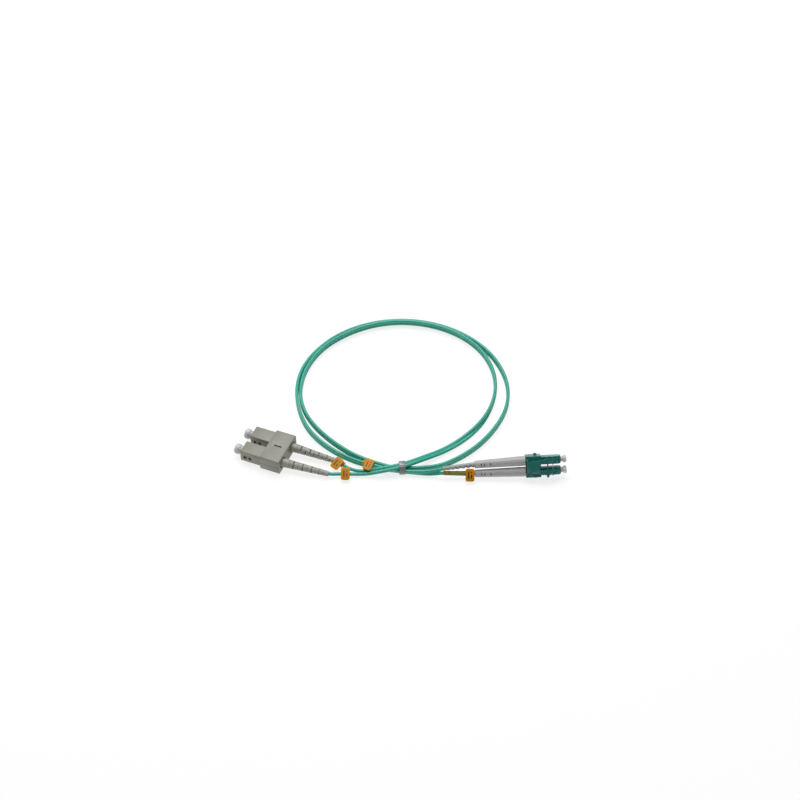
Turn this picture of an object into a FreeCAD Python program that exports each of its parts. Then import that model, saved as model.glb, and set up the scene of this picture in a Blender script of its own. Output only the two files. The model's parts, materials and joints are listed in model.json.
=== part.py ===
import FreeCAD, Part
import math
import os
from FreeCAD import Placement, Rotation, Vector

# Duplex fibre patch cord, SC duplex plug to LC duplex plug, wound in two tied turns.
# Millimetres, +X towards the LC plug, +Z up, floor at Z = 0.
# The origin is under the middle of the box round the two plugs.

X_AXIS = Vector(1, 0, 0)
Y_AXIS = Vector(0, 1, 0)
Z_AXIS = Vector(0, 0, 1)
SIDES = (("a", 1), ("b", -1))       # leg a is the far or upper one, leg b the near or lower one
FRAME_SHIFT = Vector(0.49, 2.97, 0)  # moves the layout so that the origin is under the plugs

# --- SC duplex plug: local x runs back from the grip's front face, y across, z up ---
SC_PITCH = 12.7
SC_YAW = -22.0
SC_FRONT = Vector(-86.2, 5.3, 4.75)
SC_GRIP = (22.6, 9.0, 7.4)          # length, width, height
SC_CAVITY = (7.6, 5.9)
SC_FRAME = (0.5, 18.8, 7.3, 5.6)    # front, rear, width, height
SC_CLIP = (12.5, 24.4, 23.2, 9.5)   # front, rear, width, height
SC_CLIP_WALL = 1.5                  # rear wall of the duplex clip
SC_BOOT_LENGTH = 27.0
SC_BOOT_BASE = 2.6                  # radii of the boot
SC_BOOT_TIP = 1.45
SC_BOOT_YAW = {"a": 2.4, "b": 7.2}  # each boot leans off the plug's axis
SC_BOOT_DROP = 4.5
SC_FERRULE_R = 1.25

# --- LC duplex plug: local x runs forward to the nose, y across, z to the latch side ---
LC_PITCH = 6.25
LC_YAW = 2.0
LC_NOSE_UP = 2.7
LC_ROLL = 57.0                      # the plug stands on one long edge
LC_CLIP_CENTRE = Vector(74.4, -14.4, 7.08)
LC_NOSE = 4.5                       # square section
LC_HOUSING_REAR = -16.5
LC_CLIP = (-19.5, -11.1, 12.4, 5.8)  # rear, front, width, height
LC_BOOT = (-48.0, -19.7, 2.1, 2.75)  # rear, front, radii there
LC_BOOT_IN = 1.1                    # degrees that each boot leans towards the other
LC_TAIL_REAR = -65.6
LC_TAIL_Y = 1.28                    # half the distance between the tails' rear ends
LC_FERRULE_R = 0.625
LATCH_PIVOT = (-2.0, 2.8)           # x, z
LATCH_TIP = (-8.4, 3.55)
TRIGGER_PIVOT = (-18.6, 3.6)
TRIGGER_BAR = (-7.9, -7.2)

# --- cord ---
STRAND_R = 1.0
HALF_GAP = 1.03                     # from the middle of the pair to a strand's middle
BORE_R = 1.2

# Middle of the two-strand cord: x, y, z and the twist of the pair in degrees,
# 0 for side by side and 90 for one above the other.
ROUTE = [
    (-20.0, -14.9, 1.5, 0), (-12.0, -15.4, 4.3, 30), (-3.5, -14.2, 5.25, 4), (4.5, -11.3, 5.25, -4),
    (14.0, -5.3, 3.7, 0), (25.0, 2.2, 1.4, 0), (36.5, 11.0, 1.5, 20), (46.8, 22.5, 1.9, 60),
    (53.7, 36.0, 2.15, 90), (57.5, 52.0, 2.15, 90), (56.6, 69.0, 2.3, 90), (49.9, 85.8, 2.8, 90),
    (37.3, 99.4, 3.2, 90), (20.5, 108.4, 3.3, 90), (1.5, 111.8, 3.3, 90), (-17.4, 108.7, 3.3, 90),
    (-34.7, 99.6, 3.2, 90), (-48.6, 86.4, 3.0, 90), (-57.1, 69.5, 2.6, 90), (-59.9, 51.5, 2.2, 90),
    (-57.3, 35.0, 2.15, 90), (-50.1, 21.1, 2.15, 90), (-38.9, 8.1, 2.15, 90), (-26.1, -2.5, 2.15, 90),
    (-13.0, -8.9, 2.15, 92), (-2.0, -11.9, 2.25, 125), (10.0, -12.0, 2.2, 112), (22.5, -10.9, 2.15, 90),
    (35.5, -3.2, 2.15, 90), (47.5, 8.0, 2.15, 90), (57.2, 22.3, 2.15, 90), (63.3, 37.0, 2.15, 90),
    (64.9, 53.3, 2.15, 90), (61.8, 69.3, 2.15, 90), (54.3, 85.2, 2.15, 90), (41.0, 99.7, 2.15, 90),
    (22.5, 110.3, 2.15, 90), (1.5, 114.0, 2.15, 90), (-19.4, 110.7, 2.15, 90), (-37.6, 100.9, 2.15, 90),
    (-51.2, 86.2, 2.15, 90), (-59.7, 69.4, 2.15, 90), (-62.1, 51.0, 2.15, 90), (-59.4, 33.0, 2.15, 90),
    (-53.0, 17.0, 2.15, 90), (-41.5, 3.7, 2.15, 90), (-27.5, -5.9, 2.15, 90), (-13.0, -11.2, 2.15, 90),
    (-1.5, -14.05, 2.25, 125), (9.5, -15.1, 2.2, 110), (17.5, -15.8, 2.75, 75),
]
# Between its boot and the pair each strand is on its own.
SC_TAIL = {"a": [(-28.3, -12.5, 1.8)], "b": [(-35.2, -15.9, 1.95)]}

MARKER = (5.0, 7.2, 0.9, 0.45)       # face plate's length, width and thickness, and the ring's wall
TIE_X = 1.2                         # where the band goes round the three lines
LINE_MARKER_RUN = 50                # the run of strand a that carries the marker beside the tie
TIE_WIDTH = 3.4
TIE_WALL = 0.3
TIE_LINES = [(-1.75, 1.36), (1.45, 1.36), (1.63, 5.25), (-1.57, 5.33), (-2.72, 3.13)]


def rod(x0, x1, radius, y=0.0, z=0.0):
    """A cylinder along x."""
    return Part.makeCylinder(radius, x1 - x0, Vector(x0, y, z), X_AXIS)


def block(x0, x1, width, height, round_edge=0.0, y=0.0, z=0.0):
    """A box along x, centred on y and z, with its long edges rounded."""
    corner = Vector(x0, y - width / 2, z - height / 2)
    body = Part.makeBox(x1 - x0, width, height, corner)
    if round_edge:
        long_edges = [e for e in body.Edges if abs(e.tangentAt(e.FirstParameter).x) > 0.9]
        body = body.makeFillet(round_edge, long_edges)
    return body


def turned(profile):
    """A solid of revolution about x from (x, radius) points."""
    points = [Vector(x, radius, 0) for x, radius in profile]
    outline = Part.makePolygon(points + points[:1])
    return Part.Face(outline).revolve(Vector(), X_AXIS, 360)


def slab(points, y0, y1):
    """A plate of constant section: an outline in x and z, from y0 to y1."""
    corners = [Vector(x, y0, z) for x, z in points]
    outline = Part.makePolygon(corners + corners[:1])
    return Part.Face(outline).extrude(Vector(0, y1 - y0, 0))


def coil_spring(x0, x1, mean_radius, wire_radius, turns):
    """A helical spring along x."""
    pitch = (x1 - x0 - 2 * wire_radius) / turns
    helix = Part.makeHelix(pitch, pitch * turns, mean_radius)
    section = Part.Wire(Part.makeCircle(wire_radius, Vector(mean_radius, 0, 0), Y_AXIS))
    spring = Part.Wire(helix).makePipeShell([section], True, True)
    spring.Placement = Placement(Vector(x0 + wire_radius, 0, 0), Rotation(Y_AXIS, 90))
    return spring


# ---------------------------------------------------------------- placing

SC_PLACE = Placement(SC_FRONT + FRAME_SHIFT, Rotation(Z_AXIS, SC_YAW))


def lc_placement():
    turn = Rotation(Z_AXIS, LC_YAW) * Rotation(Y_AXIS, -LC_NOSE_UP) * Rotation(X_AXIS, LC_ROLL)
    clip_middle = (LC_CLIP[0] + LC_CLIP[1]) / 2
    origin = LC_CLIP_CENTRE + FRAME_SHIFT - turn.multVec(Vector(clip_middle, 0, 0))
    return Placement(origin, turn)


LC_PLACE = lc_placement()


def place(shape, frame, y=0.0):
    """From a plug's own frame to where the plug lies, y to one side of its middle."""
    shape.translate(Vector(0, y, 0))
    return moved(shape, frame)


def moved(shape, frame):
    shape.Placement = frame.multiply(shape.Placement)
    return shape


# ---------------------------------------------------------------- SC plug

def sc_dust_cap():
    sleeve = turned([(-2.3, 0.0), (-2.3, 2.1), (5.6, 2.1), (5.6, SC_FERRULE_R + 0.04),
                     (-1.7, SC_FERRULE_R + 0.04), (-1.7, 0.0)])
    head = rod(-5.2, -2.0, 3.1)
    head = head.makeFillet(1.1, [head.Edges[0], head.Edges[2]])
    return head.fuse(sleeve).removeSplitter()


def sc_ferrule():
    return turned([(-1.5, 0.0), (-1.5, 0.95), (-1.1, SC_FERRULE_R), (9.6, SC_FERRULE_R), (9.6, 0.0)])


def sc_ferrule_flange():
    return turned([(7.3, SC_FERRULE_R), (7.3, 1.6), (8.4, 1.6), (8.4, 2.25), (10.2, 2.25),
                   (10.2, 1.05), (14.6, 1.05), (14.6, 0.5), (9.6, 0.5), (9.6, SC_FERRULE_R)])


def sc_inner_frame():
    front, rear, width, height = SC_FRAME
    frame = block(front, rear, width, height, 0.5)
    frame = frame.cut(rod(front - 1, 7.0, 2.45))
    frame = frame.cut(rod(6.0, 9.0, 1.75))
    return frame.cut(rod(8.3, rear + 1, 2.45))


def sc_grip():
    length, width, height = SC_GRIP
    grip = block(0, length, width, height, 0.8)
    key = block(1.0, 9.5, 2.0, 0.9, 0.0, 0.0, -height / 2 - 0.25)
    grip = grip.fuse(key)
    grip = grip.cut(block(-1, length + 1, SC_CAVITY[0], SC_CAVITY[1], 0.4))
    for x0, x1 in ((2.0, 3.8), (5.1, 6.7)):
        grip = grip.cut(block(x0, x1, width + 2, 2.2))
    return grip


def sc_crimp_body():
    return turned([(15.8, 0.6), (15.8, 2.4), (18.7, 2.4), (18.7, 1.8), (23.3, 1.8), (23.3, 0.6)])


def sc_crimp_ring():
    return turned([(19.3, 1.83), (19.3, 2.15), (23.2, 2.15), (23.2, 1.83)])


def sc_boot(leg):
    exit_x = SC_CLIP[1]
    sleeve = turned([(19.0, 2.25), (19.0, 2.75), (exit_x + 0.2, 2.75), (exit_x + 0.2, 2.25)])
    cone = turned([(-0.4, BORE_R), (-0.4, SC_BOOT_BASE), (2.5, SC_BOOT_BASE),
                   (SC_BOOT_LENGTH, SC_BOOT_TIP), (SC_BOOT_LENGTH, BORE_R)])
    cone = moved(cone, sc_boot_lean(leg))
    return sleeve.fuse(cone).removeSplitter()


def sc_boot_lean(leg):
    turn = Rotation(Z_AXIS, SC_BOOT_YAW[leg]) * Rotation(Y_AXIS, SC_BOOT_DROP)
    return Placement(Vector(SC_CLIP[1], 0, 0), turn)


def sc_clip_half(top):
    front, rear, width, height = SC_CLIP
    clip = block(front, rear, width, height, 0.9)
    for _, side in SIDES:
        y = side * SC_PITCH / 2
        pocket = block(front - 1, rear - SC_CLIP_WALL, SC_GRIP[1] + 0.1, SC_GRIP[2] + 0.1, 0.0, y)
        clip = clip.cut(pocket).cut(rod(rear - 3, rear + 1, 3.2, y))
        clip = clip.cut(block(front - 1, front + 2.0, 2.4, height / 2, 0.0, y, -height / 2))
    clip = clip.cut(block(16.3, 20.8, 0.8, height / 2, 0.0, 0.0, height / 2))
    base = 0.02 if top else -0.02 - height
    half = Part.makeBox(rear, width + 2, height, Vector(front - 1, -width / 2 - 1, base))
    return clip.common(half)


# ---------------------------------------------------------------- LC plug

def lc_dust_cap():
    bore = LC_FERRULE_R + 0.03
    return turned([(-5.2, bore), (-5.2, 1.45), (0.6, 1.45), (1.7, 2.05), (2.0, 2.25), (2.8, 2.25),
                   (3.2, 2.0), (3.3, 1.6), (3.3, 0.0), (0.5, 0.0), (0.5, bore)])


def lc_ferrule():
    return turned([(-8.2, 0.0), (-8.2, LC_FERRULE_R), (0.1, LC_FERRULE_R), (0.3, 0.42), (0.3, 0.0)])


def lc_ferrule_flange():
    return turned([(-6.3, LC_FERRULE_R), (-6.3, 0.85), (-7.35, 0.85), (-7.35, 1.5), (-8.7, 1.5),
                   (-8.7, 0.8), (-12.2, 0.8), (-12.2, 0.3), (-8.2, 0.3), (-8.2, LC_FERRULE_R)])


def lc_housing():
    housing = block(LC_HOUSING_REAR, 0.0, LC_NOSE, LC_NOSE, 0.4)
    bevel = turned([(-1.0, 2.9), (0.1, 2.3), (0.1, 4.0), (-1.0, 4.0)])
    housing = housing.cut(bevel).cut(rod(-6.0, 1.0, 1.65)).cut(rod(-8.0, -5.0, 0.95))
    return housing.cut(rod(LC_HOUSING_REAR - 1, -7.2, 1.65))


def lc_latch():
    px, pz = LATCH_PIVOT
    tx, tz = LATCH_TIP
    root = Part.makeCylinder(0.45, 3.6, Vector(px, -1.8, pz), Y_AXIS)
    arm = slab([(px, pz - 0.4), (px, pz + 0.4), (tx, tz + 0.4), (tx, tz - 0.4)], -1.3, 1.3)
    shoulder = slab([(-4.9, 2.8), (-4.2, 2.7), (-4.2, 3.45), (-4.9, 3.75)], -2.2, 2.2)
    return root.fuse(arm).fuse(shoulder).removeSplitter()


def lc_back_body():
    rear = LC_CLIP[0]
    plug = turned([(-13.8, 0.5), (-13.8, 1.6), (-16.6, 1.6), (-16.6, 0.5)])
    collar = block(rear + 0.1, -16.6, 4.4, 4.4, 0.3).cut(rod(-24, -10, 0.5))
    stem = turned([(-24.0, 0.5), (-24.0, 1.2), (rear + 0.3, 1.2), (rear + 0.3, 0.5)])
    return plug.fuse(collar).fuse(stem).removeSplitter()


def lc_crimp_ring():
    return turned([(-23.8, 1.23), (-23.8, 1.55), (-19.8, 1.55), (-19.8, 1.23)])


def lc_boot(side):
    rear, front, rear_radius, front_radius = LC_BOOT
    boot = turned([(rear, 1.35), (rear, rear_radius), (front - 3.0, front_radius),
                   (front, front_radius), (front, 1.75), (-24.2, 1.75), (-24.2, 1.35)])
    return moved(boot, Placement(Vector(), Rotation(Z_AXIS, side * LC_BOOT_IN), Vector(front, 0, 0)))


def lc_boot_line(side):
    """A boot's rear end and the direction from there to the clip."""
    rear, front = LC_BOOT[:2]
    along = Rotation(Z_AXIS, side * LC_BOOT_IN).multVec(X_AXIS)
    return Vector(front, side * LC_PITCH / 2, 0) - along * (front - rear), along


def lc_tail_line(side):
    """The straight middle line of a tail: where it leaves the boot, and its rear end."""
    start, _ = lc_boot_line(side)
    return start, Vector(LC_TAIL_REAR, side * LC_TAIL_Y, 0)


def lc_tail_sleeve(side):
    start, end = lc_tail_line(side)
    length = (end - start).Length
    sleeve = turned([(0.2, 1.1), (0.2, 1.4), (length, 1.2), (length, 1.1)])
    return moved(sleeve, Placement(start, Rotation(X_AXIS, end - start)))


def lc_clip():
    rear, front, width, height = LC_CLIP
    clip = block(rear, front, width, height, 0.5)
    groove = block(rear + 1.1, rear + 1.4, width + 2, height + 2)
    clip = clip.cut(groove.cut(block(rear, front, width - 0.4, height - 0.4, 0.3)))
    for _, side in SIDES:
        y = side * LC_PITCH / 2
        clip = clip.cut(block(rear - 1, front + 1, LC_NOSE + 0.1, LC_NOSE + 0.1, 0.0, y))
        ear = slab([(-19.4, 2.6), (-19.4, 4.1), (-17.9, 4.1), (-17.2, 2.6)], side * 3.45, side * 4.3)
        nub = block(-14.9, -13.2, 1.6, 1.6, 0.0, side * (width / 2 + 0.05), -0.8)
        clip = clip.fuse(ear).fuse(nub)
    return clip.removeSplitter()


def lc_trigger():
    px, pz = TRIGGER_PIVOT
    bar_rear, bar_front = TRIGGER_BAR
    tip_rear, tip_front = bar_rear - 0.8, bar_front + 0.8
    root = Part.makeCylinder(0.5, 6.6, Vector(px, -3.3, pz), Y_AXIS)
    side_view = slab([(px, pz - 0.3), (px, pz + 0.5), (-12.0, 4.9), (bar_rear, 5.15),
                      (tip_front, 5.2), (tip_front, 4.25), (bar_rear, 4.25), (-12.0, 4.05)], -7, 7)
    half = [(px, 3.3), (-17.0, 3.3), (-16.6, 3.8), (-11.9, 3.8), (-11.4, 4.2), (tip_rear, 4.4),
            (bar_rear + 0.15, 6.1), (bar_front - 0.15, 6.1), (tip_front, 4.4), (bar_front, 3.6)]
    corners = [Vector(x, y, 0) for x, y in half] + [Vector(x, -y, 0) for x, y in reversed(half)]
    plan_view = Part.Face(Part.makePolygon(corners + corners[:1])).extrude(Vector(0, 0, 8))
    window = block(-11.6, bar_rear, 3.8, 4.0, 0.0, 0.0, 5.0)
    return root.fuse(side_view.common(plan_view).cut(window)).removeSplitter()


# ---------------------------------------------------------------- cord

def unit(vector):
    vector = Vector(vector)
    vector.normalize()
    return vector


def pair_points(sign):
    """One strand's share of the route: off the pair's middle, along the twisted direction."""
    points = []
    for i, (x, y, z, twist) in enumerate(ROUTE):
        before = ROUTE[max(i - 1, 0)]
        after = ROUTE[min(i + 1, len(ROUTE) - 1)]
        along = unit(Vector(after[0] - before[0], after[1] - before[1], 0))
        across = Vector(-along.y, along.x, 0) * math.cos(math.radians(twist))
        up = Z_AXIS * math.sin(math.radians(twist))
        points.append(Vector(x, y, z) + (across + up) * (sign * HALF_GAP))
    return points


def sc_leg_points(leg, side):
    """From the crimp to just past the boot's tip, then the strand's own tail."""
    lean = sc_boot_lean(leg)
    start = SC_PLACE.multVec(lean.Base + Vector(0, side * SC_PITCH / 2, 0))
    along = (SC_PLACE.Rotation * lean.Rotation).multVec(X_AXIS)
    bow = Vector(0, 0.12 * side, 0)
    inside = [start + along * 0.4, start + along * 14.0 + bow, start + along * (SC_BOOT_LENGTH + 1.2)]
    return inside + [Vector(*p) + FRAME_SHIFT for p in SC_TAIL[leg]]


def lc_leg_points(side):
    """From just outside the tail sleeve to the crimp."""
    start, end = lc_tail_line(side)
    _, forward = lc_boot_line(side)
    bow = Vector(0, 0, 0.05)
    local = [end + unit(end - start) * 0.9, (start + end) * 0.5 + bow, start,
             start + forward * 12.4 + bow, start + forward * 23.6]
    return [LC_PLACE.multVec(p) for p in local]


def strand_points(leg, side):
    middle = [p + FRAME_SHIFT for p in pair_points(side)]
    return sc_leg_points(leg, side) + middle + lc_leg_points(side)


def tube(name, points, radius):
    """A round tube on straight runs joined by tangent arcs."""
    edges = []
    radii = []
    here = points[0]
    for before, corner, after in zip(points, points[1:], points[2:]):
        back = unit(before - corner)
        ahead = unit(after - corner)
        turn = math.pi - back.getAngle(ahead)
        reach = 0.45 * min((before - corner).Length, (after - corner).Length)
        bend = reach / math.tan(turn / 2)
        radii.append(bend)
        arc_start = corner + back * reach
        arc_end = corner + ahead * reach
        inward = unit(back + ahead)
        arc_middle = corner + inward * (bend / math.cos(turn / 2) - bend)
        edges.append(Part.LineSegment(here, arc_start).toShape())
        edges.append(Part.Arc(arc_start, arc_middle, arc_end).toShape())
        here = arc_end
    edges.append(Part.LineSegment(here, points[-1]).toShape())
    path = Part.Wire(edges)
    direction = unit(points[1] - points[0])
    section = Part.Wire(Part.makeCircle(radius, points[0], direction))
    solid = path.makePipeShell([section], True, False)
    expected = math.pi * radius ** 2 * path.Length
    print(name, "length %.1f" % path.Length, "volume / expected %.4f" % (solid.Volume / expected),
          "valid", solid.isValid(), "smallest radius %.1f" % min(radii))
    print("  radii", " ".join("%.0f" % r for r in radii))
    return solid


def tie_band():
    """A flat band drawn close round the lines of cord, with its end lapped on top."""
    corners = [Vector(-TIE_WIDTH / 2, y, z) for y, z in TIE_LINES]
    lines = Part.makePolygon(corners + corners[:1])
    inner = Part.Face(lines.makeOffset2D(STRAND_R + 0.06))
    outer = Part.Face(lines.makeOffset2D(STRAND_R + 0.06 + TIE_WALL))
    band = outer.cut(inner).extrude(Vector(TIE_WIDTH, 0, 0))
    top = outer.BoundBox.ZMax
    lap = block(-TIE_WIDTH / 2, TIE_WIDTH / 2, 2.4, TIE_WALL + 0.1, 0.0, -0.4, top + 0.05)
    origin = Vector(TIE_X, -12.45, 0) + FRAME_SHIFT
    return moved(band.fuse(lap).removeSplitter(), Placement(origin, Rotation(Z_AXIS, 5)))


def marker_clip(at, along, facing, ring_r=STRAND_R + 0.2, slide=0.0, shift=-1.2):
    """A clip-on marker: an open ring on one strand with a flat face plate.

    The plate sits slide mm along the strand and shift mm to one side of the ring.
    """
    length, width, thick, wall = MARKER
    ring = turned([(-1.3, ring_r), (-1.3, ring_r + wall), (1.3, ring_r + wall), (1.3, ring_r)])
    ring = ring.cut(block(-3, 3, 6.0, 2.0, 0.0, 0.0, -1.0 - 0.4 * ring_r))
    lift = ring_r + wall + thick / 2 - 0.1
    plate = block(slide - length / 2, slide + length / 2, width, thick, 0.0, shift, lift)
    corners = [e for e in plate.Edges if abs(e.tangentAt(e.FirstParameter).z) > 0.9]
    plate = plate.makeFillet(1.2, corners)
    marker = ring.fuse(plate)
    x = unit(along)
    across = unit(facing.cross(x))
    frame = Rotation(x, across, x.cross(across), "XZY")
    return moved(marker, Placement(at, frame))


def between(points, index, share):
    """A place on one run of a strand and the run's direction."""
    start, end = points[index], points[index + 1]
    return start + (end - start) * share, end - start


# ---------------------------------------------------------------- writing

def build():
    nodes = {}
    strands = {}
    for leg, side in SIDES:
        y = side * SC_PITCH / 2
        nodes["sc_dust_cap_" + leg] = place(sc_dust_cap(), SC_PLACE, y)
        nodes["sc_ferrule_" + leg] = place(sc_ferrule(), SC_PLACE, y)
        nodes["sc_ferrule_flange_" + leg] = place(sc_ferrule_flange(), SC_PLACE, y)
        nodes["sc_spring_" + leg] = place(coil_spring(11.35, 15.7, 1.8, 0.22, 5), SC_PLACE, y)
        nodes["sc_inner_frame_" + leg] = place(sc_inner_frame(), SC_PLACE, y)
        nodes["sc_grip_" + leg] = place(sc_grip(), SC_PLACE, y)
        nodes["sc_crimp_body_" + leg] = place(sc_crimp_body(), SC_PLACE, y)
        nodes["sc_crimp_ring_" + leg] = place(sc_crimp_ring(), SC_PLACE, y)
        nodes["sc_boot_" + leg] = place(sc_boot(leg), SC_PLACE, y)
        y = side * LC_PITCH / 2
        nodes["lc_dust_cap_" + leg] = place(lc_dust_cap(), LC_PLACE, y)
        nodes["lc_ferrule_" + leg] = place(lc_ferrule(), LC_PLACE, y)
        nodes["lc_ferrule_flange_" + leg] = place(lc_ferrule_flange(), LC_PLACE, y)
        nodes["lc_spring_" + leg] = place(coil_spring(-13.6, -9.65, 1.2, 0.2, 4.5), LC_PLACE, y)
        nodes["lc_housing_" + leg] = place(lc_housing(), LC_PLACE, y)
        nodes["lc_latch_" + leg] = place(lc_latch(), LC_PLACE, y)
        nodes["lc_back_body_" + leg] = place(lc_back_body(), LC_PLACE, y)
        nodes["lc_crimp_ring_" + leg] = place(lc_crimp_ring(), LC_PLACE, y)
        nodes["lc_boot_" + leg] = place(lc_boot(side), LC_PLACE, y)
        nodes["lc_tail_sleeve_" + leg] = place(lc_tail_sleeve(side), LC_PLACE)
        strands[leg] = strand_points(leg, side)
        nodes["cord_strand_" + leg] = tube("cord_strand_" + leg, strands[leg], STRAND_R)
    nodes["sc_clip_upper"] = place(sc_clip_half(True), SC_PLACE)
    nodes["sc_clip_lower"] = place(sc_clip_half(False), SC_PLACE)
    nodes["lc_clip"] = place(lc_clip(), LC_PLACE)
    nodes["lc_trigger"] = place(lc_trigger(), LC_PLACE)
    nodes["tie_band"] = tie_band()
    return nodes, strands


def add_markers(nodes, strands):
    at, along = between(strands["a"], 2, 0.3)
    nodes["sc_marker_a"] = marker_clip(at, along, Vector(0.1, -0.5, 0.85), 1.3, -1.8, -1.6)
    at, along = between(strands["b"], 3, 0.3)
    nodes["sc_marker_b"] = marker_clip(at, along, Vector(0.0, -0.4, 0.92), shift=-0.5)
    at, along = between(strands["a"], LINE_MARKER_RUN, 0.55)
    nodes["line_marker"] = marker_clip(at, along, Vector(0.1, -0.2, 0.98), slide=2.6, shift=-1.7)
    start, end = [LC_PLACE.multVec(p) for p in lc_tail_line(-1)]
    at = start + (end - start) * 0.16
    nodes["lc_marker_b"] = marker_clip(at, start - end, Vector(0.0, -0.75, 0.66), 1.45, 0.0, -0.7)


def main():
    os.makedirs("parts", exist_ok=True)
    nodes, strands = build()
    add_markers(nodes, strands)
    for name, shape in nodes.items():
        shape.exportStep("parts/%s.step" % name)
    cord = ("cord_strand_", "tie_band", "sc_marker_", "lc_marker_", "line_marker")
    box = FreeCAD.BoundBox()
    for name, shape in nodes.items():
        if not name.startswith(cord):
            box.add(shape.BoundBox)
    print("plugs' box", box, "middle", box.Center)


main()
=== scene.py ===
import json
import math

import bpy
import bmesh
from mathutils import Matrix, Vector

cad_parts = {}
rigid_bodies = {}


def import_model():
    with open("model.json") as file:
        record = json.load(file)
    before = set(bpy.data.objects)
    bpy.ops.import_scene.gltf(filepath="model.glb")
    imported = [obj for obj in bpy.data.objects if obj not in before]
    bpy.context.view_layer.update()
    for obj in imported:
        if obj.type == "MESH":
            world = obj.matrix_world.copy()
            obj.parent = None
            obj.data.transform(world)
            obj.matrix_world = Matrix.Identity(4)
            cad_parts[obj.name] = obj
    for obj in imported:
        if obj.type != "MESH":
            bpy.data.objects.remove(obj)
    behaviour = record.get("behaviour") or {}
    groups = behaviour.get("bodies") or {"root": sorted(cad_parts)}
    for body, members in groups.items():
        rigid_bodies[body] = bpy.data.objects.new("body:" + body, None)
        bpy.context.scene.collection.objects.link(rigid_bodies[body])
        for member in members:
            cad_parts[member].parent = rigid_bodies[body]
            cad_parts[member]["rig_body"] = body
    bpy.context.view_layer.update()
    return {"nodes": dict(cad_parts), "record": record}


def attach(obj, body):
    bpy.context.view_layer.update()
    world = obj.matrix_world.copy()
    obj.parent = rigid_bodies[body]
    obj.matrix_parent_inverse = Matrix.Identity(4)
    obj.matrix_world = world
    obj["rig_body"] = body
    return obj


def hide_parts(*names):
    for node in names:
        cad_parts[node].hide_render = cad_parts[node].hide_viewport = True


# Looks of the duplex fibre patch cord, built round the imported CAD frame.
# Shapes are written in millimetres and scaled by MM; camera, stage and light are in metres.
# The plugs' places, the cord's route and the markers repeat the CAD source's values.

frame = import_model()
MM = 0.001
Z_AXIS = Vector((0, 0, 1))
SIDES = (("a", 1), ("b", -1))
FRAME_SHIFT = Vector((0.49, 2.97, 0))


# ---------------------------------------------------------------- plug frames, as in the CAD

def placement(origin, yaw, nose_up=0.0, roll=0.0):
    """A frame at a point, turned about z, then nose up, then rolled about its x; degrees."""
    turn = Matrix.Rotation(math.radians(yaw), 4, "Z") @ Matrix.Rotation(math.radians(-nose_up), 4, "Y")
    turn = turn @ Matrix.Rotation(math.radians(roll), 4, "X")
    return Matrix.Translation(origin) @ turn


SC_PITCH, LC_PITCH = 12.7, 6.25
SC_CLIP_REAR = 24.4
SC_BOOT_LENGTH = 27.0
SC_BOOT_YAW = {"a": 2.4, "b": 7.2}   # degrees to the left of the plug's line
SC_BOOT_DROP = 4.5                   # degrees down towards the floor
SC_PLACE = placement(Vector((-86.2, 5.3, 4.75)) + FRAME_SHIFT, -22.0)
LC_CLIP_MIDDLE = -15.3
LC_TURN = placement(Vector((0, 0, 0)), 2.0, 2.7, 57.0)
LC_CLIP_AT = Vector((74.4, -14.4, 7.08)) + FRAME_SHIFT
LC_PLACE = Matrix.Translation(LC_CLIP_AT - LC_TURN @ Vector((LC_CLIP_MIDDLE, 0, 0))) @ LC_TURN
LC_BOOT_REAR, LC_BOOT_FRONT = -48.0, -19.7
LC_BOOT_IN = 1.1                     # degrees that each boot leans towards the other
LC_TAIL_REAR, LC_TAIL_Y = -65.6, 1.28

# ---------------------------------------------------------------- cord route, as in the CAD

STRAND_R = 1.0
HALF_GAP = 1.03                      # from the pair's middle to each strand
# The pair's middle, and the angle in degrees from flat to the line through both strands.
ROUTE = [
    (-20.0, -14.9, 1.5, 0), (-12.0, -15.4, 4.3, 30), (-3.5, -14.2, 5.25, 4), (4.5, -11.3, 5.25, -4),
    (14.0, -5.3, 3.7, 0), (25.0, 2.2, 1.4, 0), (36.5, 11.0, 1.5, 20), (46.8, 22.5, 1.9, 60),
    (53.7, 36.0, 2.15, 90), (57.5, 52.0, 2.15, 90), (56.6, 69.0, 2.3, 90), (49.9, 85.8, 2.8, 90),
    (37.3, 99.4, 3.2, 90), (20.5, 108.4, 3.3, 90), (1.5, 111.8, 3.3, 90), (-17.4, 108.7, 3.3, 90),
    (-34.7, 99.6, 3.2, 90), (-48.6, 86.4, 3.0, 90), (-57.1, 69.5, 2.6, 90), (-59.9, 51.5, 2.2, 90),
    (-57.3, 35.0, 2.15, 90), (-50.1, 21.1, 2.15, 90), (-38.9, 8.1, 2.15, 90), (-26.1, -2.5, 2.15, 90),
    (-13.0, -8.9, 2.15, 92), (-2.0, -11.9, 2.25, 125), (10.0, -12.0, 2.2, 112), (22.5, -10.9, 2.15, 90),
    (35.5, -3.2, 2.15, 90), (47.5, 8.0, 2.15, 90), (57.2, 22.3, 2.15, 90), (63.3, 37.0, 2.15, 90),
    (64.9, 53.3, 2.15, 90), (61.8, 69.3, 2.15, 90), (54.3, 85.2, 2.15, 90), (41.0, 99.7, 2.15, 90),
    (22.5, 110.3, 2.15, 90), (1.5, 114.0, 2.15, 90), (-19.4, 110.7, 2.15, 90), (-37.6, 100.9, 2.15, 90),
    (-51.2, 86.2, 2.15, 90), (-59.7, 69.4, 2.15, 90), (-62.1, 51.0, 2.15, 90), (-59.4, 33.0, 2.15, 90),
    (-53.0, 17.0, 2.15, 90), (-41.5, 3.7, 2.15, 90), (-27.5, -5.9, 2.15, 90), (-13.0, -11.2, 2.15, 90),
    (-1.5, -14.05, 2.25, 125), (9.5, -15.1, 2.2, 110), (17.5, -15.8, 2.75, 75),
]
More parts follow.
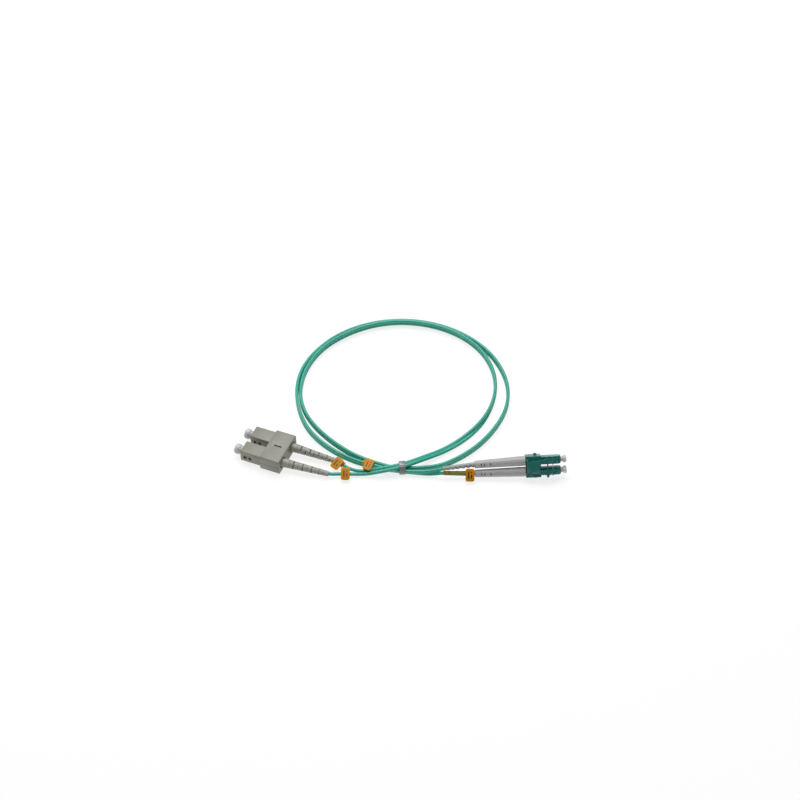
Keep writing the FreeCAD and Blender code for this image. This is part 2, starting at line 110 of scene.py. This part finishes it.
# What a strand passes between its SC boot and the pair.
SC_TAIL = {"a": [(-28.3, -12.5, 1.8)], "b": [(-35.2, -15.9, 1.95)]}


def pair_points(side):
    """One strand's share of the route: off the pair's middle, along the twisted direction."""
    points = []
    for i, (x, y, z, twist) in enumerate(ROUTE):
        before, after = ROUTE[max(i - 1, 0)], ROUTE[min(i + 1, len(ROUTE) - 1)]
        along = Vector((after[0] - before[0], after[1] - before[1], 0)).normalized()
        across = Vector((-along.y, along.x, 0)) * math.cos(math.radians(twist))
        up = Z_AXIS * math.sin(math.radians(twist))
        points.append(Vector((x, y, z)) + (across + up) * (side * HALF_GAP))
    return points


def sc_boot_frame(leg, side):
    """Where a boot leaves the duplex clip; its x runs down the boot."""
    lean = Matrix.Rotation(math.radians(SC_BOOT_YAW[leg]), 4, "Z")
    lean = lean @ Matrix.Rotation(math.radians(SC_BOOT_DROP), 4, "Y")
    return SC_PLACE @ Matrix.Translation((SC_CLIP_REAR, side * SC_PITCH / 2, 0)) @ lean


def sc_leg_points(leg, side):
    """A strand inside its SC boot, and from there to the pair."""
    boot = sc_boot_frame(leg, side)
    bow = Vector((0, 0.12 * side, 0))
    inside = [boot @ Vector((0.4, 0, 0)), boot @ Vector((14.0, 0, 0)) + bow,
              boot @ Vector((SC_BOOT_LENGTH + 1.2, 0, 0))]
    return inside + [Vector(p) + FRAME_SHIFT for p in SC_TAIL[leg]]


def lc_boot_frame(side):
    """A boot's front end; its x points to the plug's nose, so the boot lies on negative x."""
    lean = Matrix.Rotation(math.radians(side * LC_BOOT_IN), 4, "Z")
    return LC_PLACE @ Matrix.Translation((LC_BOOT_FRONT, side * LC_PITCH / 2, 0)) @ lean


def lc_tail_ends(side):
    """Where a tail leaves its boot, and its rear end."""
    start = lc_boot_frame(side) @ Vector((LC_BOOT_REAR - LC_BOOT_FRONT, 0, 0))
    return start, LC_PLACE @ Vector((LC_TAIL_REAR, side * LC_TAIL_Y, 0))


def lc_tail_frame(side):
    """A tail's frame: x runs back from the boot, z on the same side as the plug's z."""
    start, end = lc_tail_ends(side)
    along = (end - start).normalized()
    up = LC_PLACE.to_3x3() @ Z_AXIS
    up = (up - along * up.dot(along)).normalized()
    turn = Matrix((along, up.cross(along), up)).transposed().to_4x4()
    return Matrix.Translation(start) @ turn, (end - start).length


def lc_leg_points(side):
    """A strand inside its tail sleeve and LC boot."""
    start, end = lc_tail_ends(side)
    boot = lc_boot_frame(side)
    bow = (LC_PLACE.to_3x3() @ Z_AXIS) * 0.05
    length = LC_BOOT_FRONT - LC_BOOT_REAR
    return [end + (end - start).normalized() * 0.9, (start + end) * 0.5 + bow, start,
            boot @ Vector((12.4 - length, 0, 0)) + bow, boot @ Vector((23.6 - length, 0, 0))]


def strand_points(leg, side):
    """A whole strand's control points, in metres."""
    middle = [p + FRAME_SHIFT for p in pair_points(side)]
    return [p * MM for p in sc_leg_points(leg, side) + middle + lc_leg_points(side)]


def smooth_line(points, steps=10):
    """Points read from the NURBS spline that has these control points."""
    curve = bpy.data.curves.new("route", "CURVE")
    curve.dimensions = "3D"
    spline = curve.splines.new("NURBS")
    spline.points.add(len(points) - 1)
    for target, p in zip(spline.points, points):
        target.co = (*p, 1.0)
    spline.order_u = 3
    spline.use_endpoint_u = True
    spline.resolution_u = steps
    holder = bpy.data.objects.new("route", curve)
    mesh = bpy.data.meshes.new_from_object(holder)
    line = [v.co.copy() for v in mesh.vertices]
    bpy.data.meshes.remove(mesh)
    bpy.data.objects.remove(holder)
    bpy.data.curves.remove(curve)
    return line


# ---------------------------------------------------------------- materials

def new_material(name):
    material = bpy.data.materials.new(name)
    material.use_nodes = True
    tree = material.node_tree
    shader = tree.nodes["Principled BSDF"]
    return material, tree, shader


def noise(tree, scale, detail, coords):
    node = tree.nodes.new("ShaderNodeTexNoise")
    node.inputs["Scale"].default_value = scale
    node.inputs["Detail"].default_value = detail
    tree.links.new(coords, node.inputs["Vector"])
    return node.outputs["Fac"]


def ramp(tree, value, stops):
    """A colour for each value, from (position, colour) stops."""
    node = tree.nodes.new("ShaderNodeValToRGB")
    while len(node.color_ramp.elements) < len(stops):
        node.color_ramp.elements.new(0.5)
    for element, (position, colour) in zip(node.color_ramp.elements, stops):
        element.position = position
        element.color = (*colour, 1.0)
    tree.links.new(value, node.inputs["Fac"])
    return node.outputs["Color"]


def span(tree, value, low, high):
    """A noise value spread over low to high."""
    node = tree.nodes.new("ShaderNodeMapRange")
    node.inputs["From Min"].default_value = 0.3
    node.inputs["From Max"].default_value = 0.7
    node.inputs["To Min"].default_value = low
    node.inputs["To Max"].default_value = high
    tree.links.new(value, node.inputs["Value"])
    return node.outputs["Result"]


DRIFT_SCALE, GLOSS_SCALE = 110.0, 420.0
BUMP_STRENGTH = 0.5
SUBSURFACE_RADIUS = (0.0025, 0.0024, 0.0023)


def moulded(name, colour, rough, grain, grain_depth, tint, wear,
            subsurface=0.0, metallic=0.0, coat=0.0, shine=0.5):
    """Moulded plastic: slow colour drift, fine surface grain, uneven gloss, paler worn edges."""
    material, tree, shader = new_material(name)
    coords = tree.nodes.new("ShaderNodeTexCoord").outputs["Object"]
    dark = [c * (1 - tint) for c in colour]
    pale = [min(1.0, c * (1 + tint)) for c in colour]
    drift = ramp(tree, noise(tree, DRIFT_SCALE, 4.0, coords), [(0.3, dark), (0.7, pale)])
    edge = tree.nodes.new("ShaderNodeNewGeometry").outputs["Pointiness"]
    edge_mask = ramp(tree, edge, [(0.50, (0, 0, 0)), (0.60, (wear, wear, wear))])
    mix = tree.nodes.new("ShaderNodeMix")
    mix.data_type = "RGBA"
    worn = [min(1.0, c * 1.35 + 0.05) for c in colour]
    mix.inputs["B"].default_value = (*worn, 1.0)
    tree.links.new(edge_mask, mix.inputs["Factor"])
    tree.links.new(drift, mix.inputs["A"])
    tree.links.new(mix.outputs["Result"], shader.inputs["Base Color"])
    gloss = span(tree, noise(tree, GLOSS_SCALE, 3.0, coords), *rough)
    tree.links.new(gloss, shader.inputs["Roughness"])
    bump = tree.nodes.new("ShaderNodeBump")
    bump.inputs["Strength"].default_value = BUMP_STRENGTH
    bump.inputs["Distance"].default_value = grain_depth * MM
    tree.links.new(noise(tree, grain, 2.0, coords), bump.inputs["Height"])
    tree.links.new(bump.outputs["Normal"], shader.inputs["Normal"])
    shader.inputs["Metallic"].default_value = metallic
    shader.inputs["Coat Weight"].default_value = coat
    shader.inputs["Specular IOR Level"].default_value = shine
    if subsurface:
        shader.inputs["Subsurface Weight"].default_value = subsurface
        shader.inputs["Subsurface Radius"].default_value = SUBSURFACE_RADIUS
        shader.inputs["Subsurface Scale"].default_value = 1.0
    return material


# Colour, roughness range, grain scale, grain depth in mm, tint, wear, and what differs.
LOOKS = {
    "sc_plastic": ((0.275, 0.268, 0.222), (0.38, 0.52), 2600.0, 0.03, 0.06, 0.3, {}),
    "sc_boot": ((0.36, 0.355, 0.31), (0.42, 0.58), 2200.0, 0.02, 0.06, 0.3, {}),
    "cap_white": ((0.62, 0.63, 0.65), (0.3, 0.42), 900.0, 0.01, 0.03, 0.05, {"subsurface": 0.8}),
    "ferrule_ceramic": ((0.88, 0.86, 0.82), (0.08, 0.16), 900.0, 0.003, 0.02, 0.05, {"subsurface": 0.2}),
    "flange_steel": ((0.56, 0.56, 0.57), (0.25, 0.4), 3000.0, 0.01, 0.08, 0.2, {"metallic": 1.0}),
    "spring_steel": ((0.42, 0.42, 0.44), (0.25, 0.35), 3000.0, 0.01, 0.08, 0.2, {"metallic": 1.0}),
    "crimp_metal": ((0.62, 0.5, 0.28), (0.25, 0.4), 2500.0, 0.01, 0.1, 0.2, {"metallic": 1.0}),
    "lc_plastic": ((0.008, 0.165, 0.145), (0.24, 0.36), 2400.0, 0.015, 0.1, 0.3, {"coat": 0.25}),
    "lc_boot": ((0.455, 0.46, 0.455), (0.38, 0.52), 2200.0, 0.02, 0.04, 0.2, {}),
    "tail_grey": ((0.38, 0.39, 0.38), (0.4, 0.55), 2200.0, 0.02, 0.05, 0.2, {}),
    "tail_olive": ((0.235, 0.185, 0.01), (0.45, 0.6), 2200.0, 0.02, 0.12, 0.1, {}),
    "jacket_aqua": ((0.045, 0.42, 0.31), (0.3, 0.4), 700.0, 0.006, 0.05, 0.06, {"subsurface": 0.1}),
    "marker_orange": ((0.66, 0.275, 0.0), (0.45, 0.6), 1600.0, 0.015, 0.1, 0.0, {"shine": 0.2}),
    "tie_silver": ((0.22, 0.225, 0.23), (0.3, 0.45), 700.0, 0.06, 0.12, 0.4, {"metallic": 0.2}),
    "marker_print": ((0.06, 0.03, 0.01), (0.4, 0.5), 1600.0, 0.01, 0.1, 0.2, {}),
}
LOOK = {name: moulded(name, *values, **more) for name, (*values, more) in LOOKS.items()}


def finish_piece(obj, slot, body, *nodes, material=None):
    """Material, body and the CAD nodes that the piece stands for."""
    obj.data.materials.clear()
    obj.data.materials.append(LOOK[material or slot])
    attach(obj, body)
    if nodes:
        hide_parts(*nodes)
    return obj


def body_of_node(node):
    return frame["nodes"][node]["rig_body"]


def slot_of(node):
    for part in frame["record"]["subparts"]:
        if part["node"] == node:
            return part["material_slot"]
    return None


# ---------------------------------------------------------------- mesh helpers

def link_mesh(name, mesh, smooth=True):
    for polygon in mesh.polygons:
        polygon.use_smooth = smooth
    obj = bpy.data.objects.new(name, mesh)
    bpy.context.scene.collection.objects.link(obj)
    return obj


def swept(name, rings, wrap=False):
    """A surface through rings of points, all with the same count; wrap joins the last to the first."""
    count = len(rings[0])
    vertices = [p for ring in rings for p in ring]
    faces = []
    for i in range(len(rings) if wrap else len(rings) - 1):
        n = (i + 1) % len(rings)
        for j in range(count):
            k = (j + 1) % count
            faces.append((i * count + j, i * count + k, n * count + k, n * count + j))
    if not wrap:
        faces.append(tuple(reversed(range(count))))
        faces.append(tuple((len(rings) - 1) * count + j for j in range(count)))
    mesh = bpy.data.meshes.new(name)
    mesh.from_pydata(vertices, [], faces)
    bm = bmesh.new()
    bm.from_mesh(mesh)
    bmesh.ops.remove_doubles(bm, verts=bm.verts, dist=1e-7)
    bmesh.ops.recalc_face_normals(bm, faces=bm.faces)
    bm.to_mesh(mesh)
    bm.free()
    return link_mesh(name, mesh)


def carried(directions):
    """One cross direction for each point of a line, carried along it without twisting."""
    up = Z_AXIS
    out = []
    for d in directions:
        up = (up - d * up.dot(d)).normalized()
        out.append(up)
    return out


def line_directions(line):
    out = []
    for i in range(len(line)):
        p, q = line[max(i - 1, 0)], line[min(i + 1, len(line) - 1)]
        out.append((q - p).normalized())
    return out


def sharp_by_angle(obj, degrees):
    """Smooth shading, with crisp edges where the surface turns by more than an angle."""
    mesh = obj.data
    bm = bmesh.new()
    bm.from_mesh(mesh)
    for edge in bm.edges:
        edge.smooth = len(edge.link_faces) == 2 and edge.calc_face_angle(0) < math.radians(degrees)
    bm.to_mesh(mesh)
    bm.free()


def refined(node, bevel=0.16):
    """A carried-over moulding with rounded edges: the CAD shape, merged and bevelled."""
    source = frame["nodes"][node]
    mesh = source.data.copy()
    mesh.name = node + "_moulding"
    bm = bmesh.new()
    bm.from_mesh(mesh)
    bmesh.ops.remove_doubles(bm, verts=bm.verts, dist=0.002 * MM)
    bmesh.ops.dissolve_limit(bm, angle_limit=math.radians(1.0), verts=bm.verts, edges=bm.edges)
    bm.to_mesh(mesh)
    bm.free()
    obj = link_mesh(node + "_moulding", mesh)
    modifier = obj.modifiers.new("edges", "BEVEL")
    modifier.width = bevel * MM
    modifier.segments = 2
    modifier.limit_method = "ANGLE"
    modifier.angle_limit = math.radians(38.0)
    modifier.use_clamp_overlap = True
    modifier.harden_normals = True
    return finish_piece(obj, slot_of(node), body_of_node(node), node)


def lathe(name, profile, place, wrap=False):
    """A solid of revolution about a frame's x, from (x, radius) points in millimetres."""
    obj = swept(name, [ring_at(place, x, [radius] * 56) for x, radius in profile], wrap)
    sharp_by_angle(obj, 40.0)
    return obj


def ring_at(place, x, radii):
    """A ring round a frame's x; angle 0 is its y, 90 degrees its z."""
    ring = []
    for j, radius in enumerate(radii):
        angle = 2 * math.pi * j / len(radii)
        local = Vector((x, radius * math.cos(angle), radius * math.sin(angle)))
        ring.append((place @ local) * MM)
    return ring


def radius_at(profile, x):
    """A profile's radius at x; the profile runs from low x to high."""
    for (x0, r0), (x1, r1) in zip(profile, profile[1:]):
        if x0 <= x <= x1:
            return r0 + (r1 - r0) * (x - x0) / max(x1 - x0, 1e-6)
    return profile[-1][1]


def slotted(name, profile, bore, place, slots):
    """A flexible sleeve: an outer profile from its base to its tip, a bore, and slots.

    A slot is (x, half width, middle angle, half angle, floor radius).
    """
    segments = 96
    soft = 0.07                      # along the sleeve, from a slot's floor to its rim
    fade = 4                         # degrees from a slot's floor to its end
    marks = [x for x, _ in profile]
    for x, half, _, _, _ in slots:
        marks += [x - half - soft, x - half, x + half, x + half + soft]
    marks = sorted(set(round(m, 4) for m in marks if profile[0][0] <= m <= profile[-1][0]))
    rings = []
    for mark in marks:
        radii = []
        for j in range(segments):
            radius = outer = radius_at(profile, mark)
            angle = 360.0 * j / segments
            for x, half, middle, reach, floor in slots:
                off = abs((angle - middle + 180) % 360 - 180)
                if abs(mark - x) <= half + 1e-4 and off < reach:
                    radius = min(radius, floor)
                elif abs(mark - x) <= half + 1e-4 and off < reach + fade:
                    radius = min(radius, (floor + outer) / 2)
            radii.append(radius)
        rings.append(ring_at(place, mark, radii))
    start, end = profile[0][0], profile[-1][0]
    rings.append(ring_at(place, end, [bore] * segments))
    rings.append(ring_at(place, start, [bore] * segments))
    obj = swept(name, rings, wrap=True)
    sharp_by_angle(obj, 50.0)
    return obj


def rounded_profile(corners, steps=5):
    """(x, radius) outline: each corner is (x, radius, rounding)."""
    points = []
    for i, (x, r, rounding) in enumerate(corners):
        here = Vector((x, r))
        if rounding <= 0 or i in (0, len(corners) - 1):
            points.append((x, r))
            continue
        back = Vector(corners[i - 1][:2]) - here
        ahead = Vector(corners[i + 1][:2]) - here
        reach = min(rounding, back.length * 0.49, ahead.length * 0.49)
        start, end = here + back.normalized() * reach, here + ahead.normalized() * reach
        for k in range(steps + 1):
            t = k / steps
            p = start * (1 - t) ** 2 + here * 2 * t * (1 - t) + end * t ** 2
            points.append((p.x, p.y))
    return points


# ---------------------------------------------------------------- camera and light

CAMERA_ELEVATION = 44.7
CAMERA_DISTANCE = 793.0
CAMERA_TARGET = Vector((0, 45.0, 0)) + FRAME_SHIFT
FLOOR_HALF, FLOOR_DROP = 3.0, 0.00002
FLOOR_GREY, FLOOR_GLOW, WORLD_GLOW = 0.22, 0.8, 0.12


def set_camera():
    camera = bpy.data.cameras.new("camera")
    camera.lens = 60.0
    camera.sensor_width = 36.0
    camera.clip_start = 0.01
    holder = bpy.data.objects.new("camera", camera)
    bpy.context.scene.collection.objects.link(holder)
    elevation = math.radians(CAMERA_ELEVATION)
    away = Vector((0, -math.cos(elevation), math.sin(elevation)))
    holder.location = CAMERA_TARGET * MM + away * (CAMERA_DISTANCE * MM)
    holder.rotation_euler = away.to_track_quat("Z", "Y").to_euler()
    bpy.context.scene.camera = holder


def area_light(name, place, target, size, power):
    light = bpy.data.lights.new(name, "AREA")
    light.size = size
    light.energy = power
    holder = bpy.data.objects.new(name, light)
    bpy.context.scene.collection.objects.link(holder)
    holder.location = place
    holder.rotation_euler = (Vector(place) - Vector(target)).to_track_quat("Z", "Y").to_euler()


def set_stage():
    """A pale floor just under the cord, a soft surround and one large light from behind."""
    mesh = bpy.data.meshes.new("floor")
    half = FLOOR_HALF
    mesh.from_pydata([(-half, -half, 0), (half, -half, 0), (half, half, 0), (-half, half, 0)],
                     [], [(0, 1, 2, 3)])
    floor = link_mesh("floor", mesh, smooth=False)
    material, _, shader = new_material("floor_paper")
    shader.inputs["Base Color"].default_value = (FLOOR_GREY, FLOOR_GREY, FLOOR_GREY, 1)
    shader.inputs["Roughness"].default_value = 0.9
    shader.inputs["Emission Color"].default_value = (1, 1, 1, 1)
    shader.inputs["Emission Strength"].default_value = FLOOR_GLOW
    floor.data.materials.append(material)
    floor.location.z = -FLOOR_DROP
    world = bpy.data.worlds.new("studio")
    world.use_nodes = True
    background = world.node_tree.nodes["Background"]
    background.inputs["Color"].default_value = (1, 1, 1, 1)
    background.inputs["Strength"].default_value = WORLD_GLOW
    bpy.context.scene.world = world
    area_light("key", (-0.1, 0.5, 1.2), (0, 0.03, 0), 1.1, 18.5)
    bpy.context.scene.view_settings.view_transform = "Standard"


# ---------------------------------------------------------------- cord

WEB_GAP, WEB_GAP_FADE = 2.5, 0.4     # in strand radii: the web starts below this distance
WEB_HALF, WEB_FADE = 48.0, 18.0      # in degrees round the strand
WEB_LAP = 0.02                       # how far each web passes the middle


def eased(share):
    """A share held between 0 and 1, with soft ends."""
    share = min(max(share, 0.0), 1.0)
    return share * share * (3 - 2 * share)


def strand_rings(line, partner, radius):
    """Rings of one strand, with a narrow web where the other strand lies against it."""
    count = 48
    directions = line_directions(line)
    rings = []
    for p, q, d, first in zip(line, partner, directions, carried(directions)):
        second = d.cross(first)
        gap = q - p
        half = gap.length / 2 + WEB_LAP * MM
        toward = math.atan2(gap.dot(second), gap.dot(first))
        joined = eased((WEB_GAP - gap.length / radius) / WEB_GAP_FADE)
        ring = []
        for j in range(count):
            angle = 2 * math.pi * j / count
            off = abs((angle - toward + math.pi) % (2 * math.pi) - math.pi)
            web = joined * eased((math.radians(WEB_HALF) - off) / math.radians(WEB_FADE))
            reach = radius
            if web > 0:
                reach += web * max(0.0, half / math.cos(off) - radius)
            ring.append(p + (first * math.cos(angle) + second * math.sin(angle)) * reach)
        rings.append(ring)
    return rings


def make_cord():
    """Both strands, each a jacket with a narrow web towards the other."""
    lines = {leg: smooth_line(strand_points(leg, side)) for leg, side in SIDES}
    for leg, other in (("a", "b"), ("b", "a")):
        rings = strand_rings(lines[leg], lines[other], STRAND_R * MM)
        obj = swept("cord_strand_" + leg + "_jacket", rings)
        finish_piece(obj, "jacket_aqua", "root", "cord_strand_" + leg)


# ---------------------------------------------------------------- plug pieces with their own meshes

def flipped(place):
    """The same frame with x reversed, so that a profile can run the other way."""
    return place @ Matrix.Rotation(math.pi, 4, "Z")


def make_sc_boot(leg, side):
    """Smooth base, then rings parted by slots that face two ways in turn."""
    profile = rounded_profile([(-4.0, 2.6, 0), (0.2, 2.6, 0.2), (4.4, 2.52, 0.6), (4.8, 2.42, 0.3),
                               (SC_BOOT_LENGTH - 1.6, 1.62, 0.4), (SC_BOOT_LENGTH, 1.42, 0)])
    slots = []
    if leg == "b":
        for x in (6.6, 12.0, 17.2, 21.6):
            slots += [(x, 0.36, 135.0, 78.0, 1.15), (x, 0.3, 315.0, 78.0, 1.15)]
        for x in (4.0, 9.3, 14.6, 19.4, 23.9):
            slots.append((x, 0.16, 0.0, 181.0, radius_at(profile, x) - 0.2))
    else:
        for x in (5.8, 11.2, 16.4, 21.4):
            slots += [(x, 0.36, 100.0, 60.0, 1.15), (x, 0.3, 280.0, 60.0, 1.15)]
        for x in (8.6, 13.8, 18.9, 23.4):
            slots += [(x, 0.36, 190.0, 60.0, 1.15), (x, 0.3, 10.0, 60.0, 1.15)]
        slots.append((3.2, 0.16, 0.0, 181.0, 2.35))
    obj = slotted("sc_boot_" + leg + "_moulding", profile, 1.12, sc_boot_frame(leg, side), slots)
    finish_piece(obj, "sc_boot", "root", "sc_boot_" + leg)


def make_lc_boot(leg, side):
    """A plain tapered boot with a few fine slots near its rear."""
    length = LC_BOOT_FRONT - LC_BOOT_REAR
    profile = rounded_profile([(0.0, 2.72, 0), (3.0, 2.72, 0.8), (length - 0.5, 2.12, 0.3),
                               (length, 1.95, 0)])
    slots = []
    for x in (19.4, 22.8, 24.5):
        slots += [(x, 0.22, 82.0, 20.0, 1.32), (x, 0.22, 262.0, 20.0, 1.32)]
    obj = slotted("lc_boot_" + leg + "_moulding", profile, 1.3, flipped(lc_boot_frame(side)), slots)
    finish_piece(obj, "lc_boot", "root", "lc_boot_" + leg)


def make_tail_sleeve(leg, side):
    """The thin ribbed end of the boot's sleeve, slotted like a strain relief."""
    place, length = lc_tail_frame(side)
    profile = rounded_profile([(0.15, 1.42, 0), (length - 0.5, 1.22, 0.3), (length, 1.12, 0)])
    marks = (2.2, 5.0, 7.9, 10.7, 13.5, 16.0) if leg == "a" else (3.2, 6.5, 10.2, 14.2, 16.5)
    middle = 30.0 if leg == "a" else 100.0
    slots = [(x, 0.55, middle, 75.0, 1.03) for x in marks]
    obj = slotted("lc_tail_sleeve_" + leg + "_moulding", profile, 1.01, place, slots)
    finish_piece(obj, slot_of("lc_tail_sleeve_" + leg), "root", "lc_tail_sleeve_" + leg)


def make_caps(leg, side):
    """A leg's two dust caps: a mushroom on the SC plug, a flared tube on the LC plug."""
    place = SC_PLACE @ Matrix.Translation((0, side * SC_PITCH / 2, 0))
    profile = rounded_profile([(-5.2, 0.0, 0), (-5.2, 3.1, 1.5), (-2.7, 3.1, 1.1), (-1.3, 2.1, 0.6),
                               (5.6, 2.1, 0.2), (5.6, 1.29, 0), (-1.7, 1.29, 0), (-1.7, 0.0, 0)], 8)
    node = "sc_dust_cap_" + leg
    obj = lathe(node + "_moulding", profile, place)
    finish_piece(obj, slot_of(node), body_of_node(node), node)
    place = LC_PLACE @ Matrix.Translation((0, side * LC_PITCH / 2, 0))
    profile = rounded_profile([(-5.05, 0.655, 0), (-5.05, 1.45, 0), (0.95, 1.45, 0.2), (1.85, 2.1, 0.4),
                               (3.3, 2.25, 0.7), (3.3, 0.0, 0), (0.5, 0.0, 0), (0.5, 0.655, 0)], 6)
    node = "lc_dust_cap_" + leg
    obj = lathe(node + "_moulding", profile, place, wrap=True)
    finish_piece(obj, slot_of(node), body_of_node(node), node)


# Each marker: strand, run, share of it, facing, the ring's radius, and how far the plate sits
# along the strand and to its side. Values as in the CAD.
MARKERS = {
    "sc_marker_a": ("a", 2, 0.3, (0.1, -0.5, 0.85), 1.3, -1.8, -1.6),
    "sc_marker_b": ("b", 3, 0.3, (0.0, -0.4, 0.92), 1.2, 0.0, -0.5),
    "line_marker": ("a", 50, 0.55, (0.1, -0.2, 0.98), 1.2, 2.6, -1.7),
    "lc_marker_b": ("tail", 0, 0.16, (0.0, -0.75, 0.66), 1.45, 0.0, -0.7),
}
MARKER_WALL, MARKER_THICK = 0.45, 0.9
# Bars on a marker's face: x from and to, y from and to.
PRINT_BARS = ((-1.2, -0.4, -1.9, 1.9), (0.5, 1.2, -1.9, 0.2), (0.5, 1.2, 1.1, 1.9))


def marker_face(node):
    """The middle of a marker's face, with z out of it and x along the strand."""
    leg, run, share, facing, ring, slide, shift = MARKERS[node]
    if leg == "tail":
        start, end = lc_tail_ends(-1)
        at, along = start + (end - start) * share, start - end
    else:
        points = [p / MM for p in strand_points(leg, 1 if leg == "a" else -1)]
        at = points[run].lerp(points[run + 1], share)
        along = points[run + 1] - points[run]
    x = along.normalized()
    across = Vector(facing).cross(x).normalized()
    turn = Matrix((x, across, x.cross(across))).transposed().to_4x4()
    top = ring + MARKER_WALL - 0.1 + MARKER_THICK
    return Matrix.Translation(at) @ turn @ Matrix.Translation((slide, shift, top))


def make_marker_print(node):
    """Plain bars on the face, in place of printed characters."""
    face = marker_face(node)
    mesh = bpy.data.meshes.new(node + "_print")
    bm = bmesh.new()
    for x0, x1, y0, y1 in PRINT_BARS:
        size = Matrix.Diagonal((x1 - x0, y1 - y0, 0.06, 1.0))
        middle = Matrix.Translation(((x0 + x1) / 2, (y0 + y1) / 2, 0.0))
        bmesh.ops.create_cube(bm, size=1.0, matrix=Matrix.Scale(MM, 4) @ face @ middle @ size)
    bm.to_mesh(mesh)
    bm.free()
    obj = link_mesh(node + "_print", mesh, smooth=False)
    return finish_piece(obj, "marker_orange", "root", material="marker_print")


# ---------------------------------------------------------------- the whole cord

set_camera()
set_stage()
for node, obj in frame["nodes"].items():
    obj.data.materials.clear()
    obj.data.materials.append(LOOK[slot_of(node)])
for node in ("sc_clip_upper", "sc_clip_lower", "sc_grip_a", "sc_grip_b", "lc_clip", "lc_trigger",
             "lc_housing_a", "lc_housing_b", "lc_latch_a", "lc_latch_b"):
    refined(node)
on_strand = {"a": [], "b": [refined("tie_band", 0.08)]}
for node in MARKERS:
    leg = "a" if node in ("sc_marker_a", "line_marker") else "b"
    on_strand[leg] += [refined(node, 0.12), make_marker_print(node)]
make_cord()
for leg, side in SIDES:
    make_sc_boot(leg, side)
    make_lc_boot(leg, side)
    make_tail_sleeve(leg, side)
    make_caps(leg, side)
